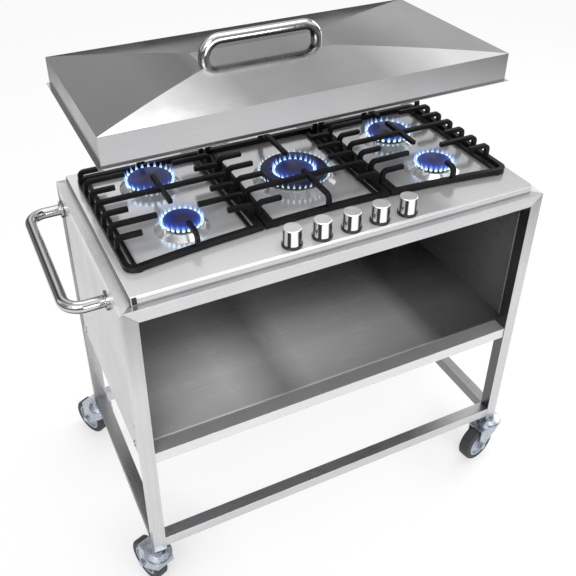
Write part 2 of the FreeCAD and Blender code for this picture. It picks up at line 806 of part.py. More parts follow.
def front_edge(x):
    return grate_front_middle - front_radius + math.sqrt(front_radius ** 2 - x ** 2)


def section_outline(x0, x1):
    corners = [Vector(x0, front_edge(x0), bar_low), Vector(x0, grate_back, bar_low),
               Vector(x1, grate_back, bar_low), Vector(x1, front_edge(x1), bar_low)]
    middle = (x0 + x1) / 2
    edges = [Part.LineSegment(a, b).toShape() for a, b in zip(corners, corners[1:])]
    edges.append(Part.Arc(corners[3], Vector(middle, front_edge(middle), bar_low), corners[0]).toShape())
    slab = Part.Face(Part.Wire(edges)).extrude(Vector(0, 0, grate_bar_height))
    outer = [e for e in slab.Edges if abs(e.Vertexes[0].X) > grate_half_width - 1
             and abs(e.Vertexes[-1].X) > grate_half_width - 1
             and abs(e.Vertexes[0].Z - e.Vertexes[-1].Z) > 1]
    return slab.makeFillet(grate_corner, outer) if outer else slab


def section_frame(x0, x1):
    slab = section_outline(x0, x1)
    base = [f for f in slab.Faces if f.BoundBox.ZMax < bar_low + 0.01][0]
    inner = base.makeOffset2D(-grate_bar)
    return slab.cut(inner.extrude(Vector(0, 0, grate_bar_height)))


def finger(x, y, heading, reach):
    """Rises from the frame, bends and runs level to its tip, built along +X."""
    top, low, deep, bend = finger_high, bar_low, finger_depth, finger_bend
    slant = math.sqrt(0.5)
    hollow = bend - deep
    middle_out = Vector(bend - bend * slant, 0, top - bend + bend * slant)
    middle_in = Vector(bend - hollow * slant, 0, top - bend + hollow * slant)
    p = [Vector(a, 0, b) for a, b in ((0, low), (0, top - bend), (bend, top), (reach, top), (reach, top - deep),
                                      (bend, top - deep), (deep, top - bend), (deep, low))]
    edges = [Part.LineSegment(p[0], p[1]), Part.Arc(p[1], middle_out, p[2]), Part.LineSegment(p[2], p[3]),
             Part.LineSegment(p[3], p[4]), Part.LineSegment(p[4], p[5]), Part.Arc(p[5], middle_in, p[6]),
             Part.LineSegment(p[6], p[7]), Part.LineSegment(p[7], p[0])]
    face = Part.Face(Part.Wire([e.toShape() for e in edges]))
    face.translate(Vector(0, -finger_width / 2, 0))
    return around(face.extrude(Vector(0, finger_width, 0)), x, y, heading)


def level_bar(x0, x1, y0, y1):
    return box(x0, x1, y0, y1, finger_high - finger_depth, finger_high)


def section_base(x0, x1):
    parts = [section_frame(x0, x1)]
    middle = (x0 + x1) / 2
    for x, inward in ((x0, 1), (x1, -1)):
        near = x + inward * (grate_bar + ledge_gap)
        far = near + inward * ledge_width
        front = max(front_edge(near), front_edge(far)) + grate_bar / 2
        parts.append(box(near, far, front, grate_back - grate_bar / 2, bar_low, bar_low + ledge_height))
        foot_x = x + inward * grate_corner
        for y0 in (front_edge(foot_x) + 1, grate_back - grate_foot_size):
            parts.append(box(foot_x, foot_x + inward * grate_foot_size, y0, y0 + grate_foot_size, grate_low,
                             bar_low + 1))
    return parts, middle


def side_section(x0, x1, rear, front):
    """A section over two burners: short and long fingers, one bridge with a spur, one finger front and rear."""
    parts, middle = section_base(x0, x1)
    across = middle - x0 + tip_overlap
    reaches = (short_reach, rear_reach, short_reach, across, short_reach, front_reach, short_reach)
    for y, reach in zip(side_fingers, reaches):
        parts.append(finger(x0 + 1, y, 0, reach))
        parts.append(finger(x1 - 1, y, 180, reach))
    half = finger_width / 2
    bridge = side_fingers[3]
    parts.append(level_bar(rear[0] - half, rear[0] + half, bridge - spur_half, bridge + spur_half))
    front_foot_y = front_edge(front[0]) + 1
    parts.append(finger(front[0], front_foot_y, 90, front[1] - front[2] - front_foot_y - tip_overlap))
    parts.append(finger(rear[0], grate_back - 1, -90, grate_back - 1 - rear[1] - rear[2] + tip_overlap))
    return fused(parts)


def centre_section(x0, x1, burner):
    parts, middle = section_base(x0, x1)
    reaches = (short_reach, short_reach, ring_reach, ring_reach, middle - x0 + tip_overlap, short_reach)
    for y, reach in zip(centre_fingers, reaches):
        parts.append(finger(x0 + 1, y, 0, reach))
        parts.append(finger(x1 - 1, y, 180, reach))
    bx, by, radius, ring = burner
    front_foot_y = front_edge(bx) + 1
    parts.append(finger(bx, front_foot_y, 90, by - radius - front_foot_y))
    parts.append(finger(bx, grate_back - 1, -90, grate_back - 1 - by - radius))
    return fused(parts)


inner_edge = grate_inner_half + grate_joint
b = burner_places
save("grate_left", side_section(-grate_half_width, -inner_edge, b["rear_left"], b["front_left"]))
save("grate_centre", centre_section(-grate_inner_half, grate_inner_half, b["centre"]))
save("grate_right", side_section(inner_edge, grate_half_width, b["rear_right"], b["front_right"]))


# Lid, drawn where the photograph shows it: lifted clear of the hob
def lid_solid(inset, low, high, rise):
    """A box with a bowed hip roof that rises to a flat where the handle stands."""
    x = lid_half_width - inset
    y0, y1 = lid_front + inset, lid_back - inset
    middle = (lid_front + lid_back) / 2
    fx, fy = lid_flat_length / 2, lid_flat_depth / 2
    eaves = (-x, x, y0, y1)
    flat = (lid_peak_offset - fx, lid_peak_offset + fx, middle - fy, middle + fy)

    def course(share, level):
        left, right, front, back = [a + share * (b - a) for a, b in zip(eaves, flat)]
        corners = [Vector(left, front, level), Vector(right, front, level), Vector(right, back, level),
                   Vector(left, back, level)]
        return Part.makePolygon(corners + corners[:1])

    courses = [course(0, high), course(lid_bow_share, high + lid_bow_rise * (rise - high)), course(1, rise)]
    roof = Part.makeLoft(courses, True, False)
    return fused([box(-x, x, y0, y1, low, high), roof])


lid_low = hob_top + lid_lift
lid_eaves = lid_low + lid_skirt
lid_flat = lid_eaves + lid_rise
lid_middle = (lid_front + lid_back) / 2
shell = lid_solid(0, lid_low, lid_eaves, lid_flat)
shell = shell.cut(lid_solid(lid_gauge, lid_low - 1, lid_eaves - lid_gauge, lid_flat - lid_gauge))
edge = lid_flange
flange = box(-lid_half_width - edge, lid_half_width + edge, lid_front - edge, lid_back + edge, lid_low,
             lid_low + lid_gauge)
flange = flange.cut(box(-lid_half_width + lid_gauge, lid_half_width - lid_gauge, lid_front + lid_gauge,
                        lid_back - lid_gauge, lid_low - 1, lid_low + 2 * lid_gauge))
lid = fused([shell, flange])
grip = lid_flat + lid_handle_height
half_span = lid_handle_span / 2
left_post, right_post = lid_peak_offset - half_span, lid_peak_offset + half_span
lid_bar = bent_rod([(left_post, lid_middle, lid_flat), (left_post, lid_middle, grip),
                    (right_post, lid_middle, grip), (right_post, lid_middle, lid_flat)], lid_handle_bend,
                   lid_handle_radius)
for name, shape in (("lid_shell", lid), ("lid_handle", lid_bar)):
    shape.translate(Vector(0, lid_shift_back, 0))
    save(name, shape)
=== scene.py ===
import json
import math
import random

import bmesh
import bpy
from mathutils import Matrix, Vector

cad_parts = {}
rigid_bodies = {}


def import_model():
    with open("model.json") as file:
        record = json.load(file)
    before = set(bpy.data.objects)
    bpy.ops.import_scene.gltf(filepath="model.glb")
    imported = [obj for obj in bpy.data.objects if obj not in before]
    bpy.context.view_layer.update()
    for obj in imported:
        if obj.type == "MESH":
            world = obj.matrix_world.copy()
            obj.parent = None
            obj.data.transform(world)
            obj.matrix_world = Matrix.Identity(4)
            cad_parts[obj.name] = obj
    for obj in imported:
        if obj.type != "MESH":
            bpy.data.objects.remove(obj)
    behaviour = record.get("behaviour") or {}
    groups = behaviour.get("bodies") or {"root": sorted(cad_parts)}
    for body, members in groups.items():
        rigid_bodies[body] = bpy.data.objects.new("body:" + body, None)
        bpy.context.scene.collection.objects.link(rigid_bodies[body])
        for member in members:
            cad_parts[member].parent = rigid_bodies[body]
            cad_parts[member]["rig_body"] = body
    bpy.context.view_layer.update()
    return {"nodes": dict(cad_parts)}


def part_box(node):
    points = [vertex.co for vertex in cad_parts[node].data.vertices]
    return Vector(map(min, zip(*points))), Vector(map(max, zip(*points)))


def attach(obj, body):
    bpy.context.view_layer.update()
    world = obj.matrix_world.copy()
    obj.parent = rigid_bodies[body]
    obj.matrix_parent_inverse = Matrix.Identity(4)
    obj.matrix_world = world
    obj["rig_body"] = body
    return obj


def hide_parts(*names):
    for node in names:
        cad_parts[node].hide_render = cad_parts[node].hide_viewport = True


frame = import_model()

MM = 0.001
nodes = frame["nodes"]

# Camera, in millimetres, radians and pixels of the square picture, and its clip distances in metres
PICTURE = 576
CAMERA_PLACE = (-692.65, -1325.24, 1708.15)
CAMERA_YAW = -0.43875
CAMERA_PITCH = 0.59054
CAMERA_ROLL = -0.00597
CAMERA_FOCUS = 783.01
CAMERA_SHIFT = (-20.66, -58.13)
CAMERA_CLIP = (0.05, 100)
SENSOR = 36.0

# Burners: middle of each and the radius of its cap, in millimetres
CROWN_SEAT = 847.0
BURNERS = {
    "front_left": (-291.2, -67.9, 38.0),
    "rear_left": (-297.1, 115.9, 48.0),
    "centre": (3.2, 16.0, 42.0),
    "rear_right": (289.8, 83.9, 48.0),
    "front_right": (302.1, -88.0, 38.0),
}
OUTER_RING = 75.0
PORTS = 24
RING_PORTS = 40

CORNERS = ("fl", "fr", "rl", "rr")
KNOBS = 5


def make_camera():
    data = bpy.data.cameras.new("camera")
    camera = bpy.data.objects.new("camera", data)
    bpy.context.scene.collection.objects.link(camera)
    forward = Vector((-math.sin(CAMERA_YAW) * math.cos(CAMERA_PITCH),
                      math.cos(CAMERA_YAW) * math.cos(CAMERA_PITCH), -math.sin(CAMERA_PITCH)))
    right = Vector((math.cos(CAMERA_YAW), math.sin(CAMERA_YAW), 0))
    up = right.cross(forward)
    turn_right = right * math.cos(CAMERA_ROLL) + up * math.sin(CAMERA_ROLL)
    turn_up = up * math.cos(CAMERA_ROLL) - right * math.sin(CAMERA_ROLL)
    basis = Matrix((turn_right, turn_up, -forward)).transposed()
    camera.matrix_world = Matrix.Translation(Vector(CAMERA_PLACE) * MM) @ basis.to_4x4()
    data.sensor_width = SENSOR
    data.lens = CAMERA_FOCUS / PICTURE * SENSOR
    data.shift_x = -CAMERA_SHIFT[0] / PICTURE
    data.shift_y = CAMERA_SHIFT[1] / PICTURE
    data.clip_start, data.clip_end = CAMERA_CLIP
    bpy.context.scene.camera = camera


make_camera()


class Tree:
    """A node tree with short ways to add and join nodes."""

    def __init__(self, tree, output):
        self.tree = tree
        tree.nodes.clear()
        self.out = self.add(output)

    def add(self, kind, **settings):
        node = self.tree.nodes.new(kind)
        for key, value in settings.items():
            setattr(node, key, value)
        return node

    def join(self, source, target):
        self.tree.links.new(source, target)

    def feed(self, socket, value):
        """A number or colour is set on the socket, and an output is joined to it."""
        if isinstance(value, (int, float)):
            socket.default_value = value
        elif isinstance(value, tuple):
            socket.default_value = (*value, 1)
        else:
            self.join(value, socket)

    def place(self, scale=(1, 1, 1), shift=(0, 0, 0)):
        """The piece's own coordinates, stretched and shifted."""
        spot = self.add("ShaderNodeTexCoord")
        mapping = self.add("ShaderNodeMapping")
        mapping.inputs["Scale"].default_value = scale
        mapping.inputs["Location"].default_value = shift
        self.join(spot.outputs["Object"], mapping.inputs["Vector"])
        return mapping.outputs["Vector"]

    def axis(self, letter, kind="Object"):
        spot = self.add("ShaderNodeTexCoord")
        split = self.add("ShaderNodeSeparateXYZ")
        self.join(spot.outputs[kind], split.inputs["Vector"])
        return split.outputs[letter]

    def bearing(self):
        """The way that a face looks, as a share of a turn from the front by the left."""
        shape = self.add("ShaderNodeNewGeometry")
        split = self.add("ShaderNodeSeparateXYZ")
        self.join(shape.outputs["Normal"], split.inputs["Vector"])
        turn = self.math("ARCTAN2", split.outputs["X"], split.outputs["Y"])
        return self.spread(turn, 0.0, 1.0, -math.pi, math.pi)

    def facing(self, way):
        """How far a face looks a given way, from 0 to 1."""
        letter, start, end = way
        return self.spread(self.axis(letter, "Normal"), 0.0, 1.0, start, end)

    def noise(self, scale, stretch=(1, 1, 1), detail=3.0, rough=0.55):
        node = self.add("ShaderNodeTexNoise")
        node.inputs["Scale"].default_value = scale
        node.inputs["Detail"].default_value = detail
        node.inputs["Roughness"].default_value = rough
        self.join(self.place(stretch), node.inputs["Vector"])
        return node.outputs["Fac"]

    def ramp(self, source, *stops):
        node = self.add("ShaderNodeValToRGB")
        bar = node.color_ramp
        while len(bar.elements) < len(stops):
            bar.elements.new(0.5)
        for element, (at, colour) in zip(bar.elements, stops):
            element.position = at
            element.color = (*colour, 1) if isinstance(colour, tuple) else (colour, colour, colour, 1)
        self.join(source, node.inputs["Fac"])
        return node.outputs["Color"]

    def spread(self, source, low, high, from_low=0.3, from_high=0.7):
        node = self.add("ShaderNodeMapRange")
        limits = {"From Min": from_low, "From Max": from_high, "To Min": low, "To Max": high}
        for key, value in limits.items():
            node.inputs[key].default_value = value
        self.join(source, node.inputs["Value"])
        return node.outputs["Result"]

    def math(self, kind, *values):
        node = self.add("ShaderNodeMath", operation=kind)
        for socket, value in zip(node.inputs, values):
            self.feed(socket, value)
        return node.outputs["Value"]

    def tint(self, kind, factor, a, b):
        node = self.add("ShaderNodeMix", data_type="RGBA", blend_type=kind)
        for socket, value in ((node.inputs["Factor"], factor), (node.inputs[6], a), (node.inputs[7], b)):
            self.feed(socket, value)
        return node.outputs[2]

    def bump(self, height, strength, distance):
        node = self.add("ShaderNodeBump")
        node.inputs["Strength"].default_value = strength
        node.inputs["Distance"].default_value = distance
        self.join(height, node.inputs["Height"])
        return node.outputs["Normal"]

    def mix(self, factor, first, second):
        node = self.add("ShaderNodeMixShader")
        self.feed(node.inputs["Fac"], factor)
        self.join(first, node.inputs[1])
        self.join(second, node.inputs[2])
        return node.outputs["Shader"]

    def glow(self, colour, strength=1.0):
        node = self.add("ShaderNodeEmission")
        self.feed(node.inputs["Color"], colour)
        node.inputs["Strength"].default_value = strength
        return node.outputs["Emission"]

    def sky(self, colour, strength=1.0):
        node = self.add("ShaderNodeBackground")
        self.feed(node.inputs["Color"], colour)
        node.inputs["Strength"].default_value = strength
        return node.outputs["Background"]

    def principled(self, colour, roughness, metallic=0.0, normal=None, **sockets):
        node = self.add("ShaderNodeBsdfPrincipled")
        self.join(colour, node.inputs["Base Color"])
        self.join(roughness, node.inputs["Roughness"])
        self.feed(node.inputs["Metallic"], metallic)
        for key, value in sockets.items():
            node.inputs[key.replace("_", " ")].default_value = value
        if normal is not None:
            self.join(normal, node.inputs["Normal"])
        self.join(node.outputs["BSDF"], self.out.inputs["Surface"])


def material_tree(name):
    material = bpy.data.materials.new(name)
    material.use_nodes = True
    t = Tree(material.node_tree, "ShaderNodeOutputMaterial")
    t.material = material
    return t


def shades(colour, low, high):
    return tuple(c * low for c in colour), tuple(min(1.0, c * high) for c in colour)


# Ways that a face can look: an axis, and where along it the face's normal starts and is wholly counted
UPWARD = ("Z", 0.4, 0.8)
LEFTWARD = ("X", -0.4, -0.8)
RIGHTWARD = ("X", 0.4, 0.8)
FRONTWARD = ("Y", -0.4, -0.8)
# Halves of the object, by the sign of X
LEFT_HALF = -1
RIGHT_HALF = 1


def stretched(along, run, across):
    """Scales of a texture that is drawn out along one axis."""
    return tuple(run if letter == along else across for letter in "xyz")


def brushed(name, colour, rough, along, contrast=0.10, metallic=1.0, inside=None, slopes=(), bands=(),
            waves=0.0):
    """Brushed steel: fine lines along one axis, cloudy drift and smears, painted shade on inner sides and on
    faces that look given ways, and broad bands of painted light, shade and dark seams.
    """
    t = material_tree(name)
    lines = t.noise(3.0, stretched(along, 4.0, 800.0), 4.0, 0.7)
    clouds = t.noise(5.0, detail=2.0)
    smear = t.noise(14.0, detail=4.0)
    low, high = shades(colour, 1 - contrast, 1 + contrast)
    base = t.ramp(lines, (0.25, low), (0.75, high))
    streaks = t.noise(3.0, stretched(along, 1.0, 200.0), 2.0)
    base = t.tint("MULTIPLY", t.spread(streaks, 0.0, 2.5 * contrast), base, (0.72, 0.72, 0.73))
    base = t.tint("MULTIPLY", t.spread(clouds, 0.0, 0.3), base, (0.80, 0.80, 0.82))
    # Painted shade: the inner side of a sheet, between two places along an axis, is darkened
    if inside:
        letter, start, end, dark = inside
        coordinate = t.axis(letter)
        above, below = t.math("GREATER_THAN", coordinate, start), t.math("LESS_THAN", coordinate, end)
        base = t.tint("MULTIPLY", t.math("MULTIPLY", above, below), base, dark)
    if waves:
        rolled = t.noise(5.0, stretched(along, 0.3, 1.6), 1.0)
        base = t.tint("MULTIPLY", t.spread(rolled, waves, 0.0, 0.36, 0.62), base, (0.30, 0.30, 0.31))
    # Painted shade: faces that look a given way are darkened, on one half of the object only or only where
    # they also look up
    for way, dark, limit in slopes:
        share = t.facing(way)
        if limit == UPWARD:
            share = t.math("MULTIPLY", share, t.facing(limit))
        elif limit:
            within = t.math("GREATER_THAN", t.math("MULTIPLY", t.axis("X"), limit), 0.0)
            share = t.math("MULTIPLY", share, within)
        base = t.tint("MULTIPLY", share, base, dark)
    # Bands of painted light and shade along an axis, with dark seams, on faces that look a given way or on
    # all faces
    for letter, start, end, way, stops in bands:
        share = t.facing(way) if way else 1.0
        tones = t.ramp(t.spread(t.axis(letter), 0.0, 1.0, start, end), *stops)
        base = t.tint("MULTIPLY", share, base, tones)
    shine = t.math("ADD", t.spread(lines, rough - 0.06, rough + 0.06), t.spread(smear, -0.03, 0.05))
    t.principled(base, shine, metallic, t.bump(lines, 0.05, 0.0003))
    return t.material


# Painted reflections on a polished tube: how light it is on its faces, from those that look down to those
# that look up
TUBE_PAINTED_REFLECTIONS = ((0.0, 0.9), (0.12, 0.9), (0.18, 0.06), (0.33, 0.06), (0.42, 0.75), (0.68, 0.85), (0.75, 1.0),
                (0.90, 1.0), (0.94, 0.35), (0.98, 0.35), (1.0, 0.7))


def polished(name, colour, rough, stripes=()):
    """Bright metal with faint polishing lines, dull patches and painted dark reflection lines like those a
    tube mirrors.
    """
    t = material_tree(name)
    lines = t.noise(4.0, (60, 60, 60), 3.0)
    clouds = t.noise(9.0)
    low, high = shades(colour, 0.93, 1.0)
    base = t.ramp(clouds, (0.3, low), (0.7, high))
    # Painted reflections: light and dark lines by how far each face looks up or down
    if stripes:
        base = t.tint("MULTIPLY", 1.0, base, t.ramp(t.facing(("Z", -1.0, 1.0)), *stripes))
    t.principled(base, t.spread(lines, rough, rough + 0.08), 1.0, t.bump(lines, 0.006, 0.0003))
    return t.material


# Painted reflections on the knobs' sides: shares of a turn from the front by the left, and how light the knob
# is on the side that faces there
KNOB_PAINTED_REFLECTIONS = ((0.0, 1.0), (0.085, 1.0), (0.10, 0.04), (0.145, 0.04), (0.16, 1.0), (0.21, 0.9),
                (0.225, 0.08), (0.255, 0.08), (0.28, 0.8), (0.34, 1.0), (0.82, 1.0), (0.88, 0.04),
                (0.96, 0.04), (0.985, 1.0))
# How far up a knob's faces look where its side goes over into its top
KNOB_TURN = (0.08, 0.25)


def spun(name, colour, rough, middle):
    """Turned knob metal: fine rings round its axis, a cloudy polish and painted dark reflection strips on its
    side.
    """
    t = material_tree(name)
    rings = t.add("ShaderNodeTexWave", wave_type="RINGS", rings_direction="Z")
    rings.inputs["Scale"].default_value = 420.0
    rings.inputs["Distortion"].default_value = 1.5
    t.join(t.place(shift=tuple(-c for c in middle)), rings.inputs["Vector"])
    clouds = t.noise(60.0)
    low, high = shades(colour, 0.92, 1.0)
    base = t.ramp(clouds, (0.3, low), (0.7, high))
    upward = t.axis("Z", "Normal")
    # Painted reflections: dark and light strips by the way the side faces, fading out on the top
    side = t.spread(upward, 1.0, 0.0, *KNOB_TURN)
    base = t.tint("MULTIPLY", side, base, t.ramp(t.bearing(), *KNOB_PAINTED_REFLECTIONS))
    metallic = t.spread(upward, 0.9, 0.62, *KNOB_TURN)
    shine = t.spread(clouds, rough, rough + 0.07)
    t.principled(base, shine, metallic, t.bump(rings.outputs["Fac"], 0.12, 0.0002))
    return t.material


def enamel(name, colour, rough, speck=0.5):
    """Cast and enamelled iron: pebbled surface with dull and glossy spots."""
    t = material_tree(name)
    pebble = t.noise(520.0, detail=3.0)
    patch = t.noise(24.0, detail=4.0)
    base = t.ramp(patch, (0.3, colour), (0.75, tuple(c * 1.9 + 0.003 for c in colour)))
    shine = t.spread(patch, rough - 0.08, rough + 0.12)
    t.principled(base, shine, 0.0, t.bump(pebble, speck, 0.0006), Specular_IOR_Level=0.18)
    return t.material


def moulded(name, colour, rough, variation=0.2):
    """Moulded plastic or rubber with a fine texture and slight scuffs."""
    t = material_tree(name)
    skin = t.noise(700.0, detail=2.0)
    scuff = t.noise(40.0, (1, 1, 3), 5.0)
    low, high = shades(colour, 1 - variation, 1 + variation)
    base = t.ramp(scuff, (0.35, low), (0.7, high))
    t.principled(base, t.spread(scuff, rough - 0.08, rough + 0.1), 0.0, t.bump(skin, 0.2, 0.0003))
    return t.material


def zinc(name):
    """Zinc plating: bluish steel with crystalline patches."""
    t = material_tree(name)
    cells = t.add("ShaderNodeTexVoronoi")
    cells.inputs["Scale"].default_value = 260.0
    t.join(t.place(), cells.inputs["Vector"])
    patch = t.noise(60.0, detail=4.0)
    base = t.ramp(patch, (0.25, (0.32, 0.36, 0.42)), (0.75, (0.56, 0.60, 0.66)))
    gloss = t.spread(cells.outputs["Distance"], 0.22, 0.34, 0.0, 1.0)
    t.principled(base, t.math("ADD", gloss, t.spread(patch, -0.04, 0.06)), 1.0, t.bump(patch, 0.08, 0.0004))
    return t.material


def burner_cap(name):
    """Dark enamel caps with the blue light of the flames painted on, brightest near the rim and darkest in
    the middle.
    """
    t = material_tree(name)
    flat = t.place((1, 1, 0))
    nearest = None
    for x, y, radius in BURNERS.values():
        reach = t.add("ShaderNodeVectorMath", operation="DISTANCE")
        t.join(flat, reach.inputs[0])
        reach.inputs[1].default_value = (x * MM, y * MM, 0)
        share = t.math("DIVIDE", reach.outputs["Value"], 2 * radius * MM)
        nearest = share if nearest is None else t.math("MINIMUM", nearest, share)
    # Painted flame light: blue strongest in a ring at the cap's rim, over dark enamel in the middle and past
    # the rim
    base = t.ramp(nearest, (0.0, (0.030, 0.026, 0.065)), (0.20, (0.028, 0.034, 0.16)),
                  (0.38, (0.030, 0.065, 0.44)), (0.50, (0.06, 0.14, 0.72)), (0.62, (0.014, 0.04, 0.26)),
                  (0.78, (0.009, 0.013, 0.08)), (0.90, (0.006, 0.006, 0.02)))
    patch = t.noise(55.0, detail=3.0)
    base = t.tint("MULTIPLY", t.spread(patch, 0.0, 0.5), base, (0.6, 0.6, 0.65))
    t.principled(base, t.spread(patch, 0.35, 0.5), 0.0, t.bump(t.noise(400.0), 0.2, 0.0004))
    return t.material


STEEL = (0.57, 0.57, 0.58)
BRIGHT = (0.66, 0.66, 0.665)

# Painted shade on faces that are darker than the rest of their piece: which way they look, how dark, and
# where only
TOPS = (UPWARD, (0.70, 0.70, 0.71), None)
SHORT_TOPS = (UPWARD, (0.50, 0.50, 0.51), None)
DECK = (UPWARD, (0.80, 0.80, 0.81), None)
LEFT_OUTER = (LEFTWARD, (0.01, 0.01, 0.01), LEFT_HALF)
REAR_FLANK = (LEFTWARD, (0.16, 0.16, 0.162), LEFT_HALF)
RIGHT_INNER = (LEFTWARD, (0.36, 0.36, 0.365), RIGHT_HALF)
INNER_FLANK = (LEFTWARD, (0.20, 0.20, 0.205), RIGHT_HALF)
RIGHT_OUTER = (RIGHTWARD, (0.63, 0.63, 0.635), None)
HOB_SIDE = (LEFTWARD, (0.14, 0.14, 0.142), None)
HOB_FRONT = (FRONTWARD, (0.78, 0.78, 0.785), None)
LID_LEFT = (("X", -0.012, -0.04), (0.34, 0.34, 0.345), None)
LID_RIGHT = (("X", 0.012, 0.04), (0.62, 0.62, 0.625), None)
LID_BACK = (("Y", -0.03, 0.04), (0.30, 0.30, 0.305), UPWARD)
LID_WALLS = (("Z", 0.8, 0.4), (0.62, 0.62, 0.625), None)

# Inner sides of sheets, darkened with painted shade: an axis, where along it they lie in metres, and how dark
# they are
LEFT_INSIDE = ("X", -0.4725, 0.0, (0.6, 0.6, 0.61))
BACK_INSIDE = ("Y", 0.0, 0.2552, (0.4, 0.4, 0.405))
SHELF_UNDER = ("Z", 0.0, 0.4406, (0.3, 0.3, 0.3))

# Bands of tone, painted light and shade except the dark seams of the left panel: an axis, where they start
# and end along it in metres, the faces that they are on, and the tones at shares of that way
CART_HALF, HOB_HALF, LID_HALF = 0.475, 0.46, 0.45
LEG_FOOT, LEG_HEAD = 0.125, 0.82
panel_low, panel_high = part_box("left_panel")
shelf_low, shelf_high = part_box("shelf")
hob_low, hob_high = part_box("hob_pan")
# Painted shade: the legs grow darker towards their tops under the counter
LEG_TOP_SHADE = ("Z", LEG_FOOT, LEG_HEAD, None, ((0.0, 1.0), (0.70, 1.0), (1.0, 0.62)))
PANEL_SEAMS = ("Y", panel_low[1], panel_high[1], None,
               ((0.0, 0.2), (0.016, 0.2), (0.019, 1.0), (0.981, 1.0), (0.984, 0.2), (1.0, 0.2)))
# Painted highlight and shade on the inner face of the right panel: a bright line near the front for a lit
# edge, and darker towards the back
RIGHT_INNER_LINE_AND_SHADE = ("Y", panel_low[1], panel_high[1], LEFTWARD,
             ((0.0, 0.35), (0.046, 0.35), (0.048, 1.0), (0.058, 1.0), (0.060, 0.35), (1.0, 0.14)))
# Painted reflections on the shelf: light and dark bands across its width
SHELF_REFLECTION_BANDS = ("X", -CART_HALF, CART_HALF, None,
               ((0.0, 0.8), (0.12, 1.0), (0.25, 1.0), (0.37, 0.5), (0.44, 0.8), (0.60, 0.65), (0.75, 0.5),
                (0.81, 0.18), (1.0, 0.12)))
# Painted shade on the shelf: a darker strip near the front edge, and darker towards the back
SHELF_DEPTH_SHADE = ("Y", shelf_low[1], shelf_high[1], None,
               ((0.0, 1.0), (0.005, 1.0), (0.007, 0.7), (0.25, 1.0), (0.45, 0.75), (0.57, 0.45),
                (0.68, 0.3), (1.0, 0.12)))
# Painted shade on the hob pan's sides: darker near the foot and in a line part way up
HOB_EDGE_SHADE = ("Z", hob_low[2], hob_high[2], None,
            ((0.0, 0.5), (0.10, 0.5), (0.20, 1.0), (0.55, 1.0), (0.62, 0.55), (0.70, 1.0)))
# Painted shade: the top of the hob grows darker towards the right
HOB_TOP_SHADE = ("X", -HOB_HALF, HOB_HALF, UPWARD, ((0.0, 1.0), (0.50, 0.92), (0.75, 0.64), (1.0, 0.60)))
# Painted reflections on the lid's upward faces: light near the hips, darker in the middle
LID_ROOF_REFLECTIONS = ("X", -LID_HALF, LID_HALF, UPWARD,
             ((0.0, 1.0), (0.16, 1.0), (0.34, 0.42), (0.52, 0.37), (0.66, 0.46), (0.84, 0.95), (1.0, 1.0)))

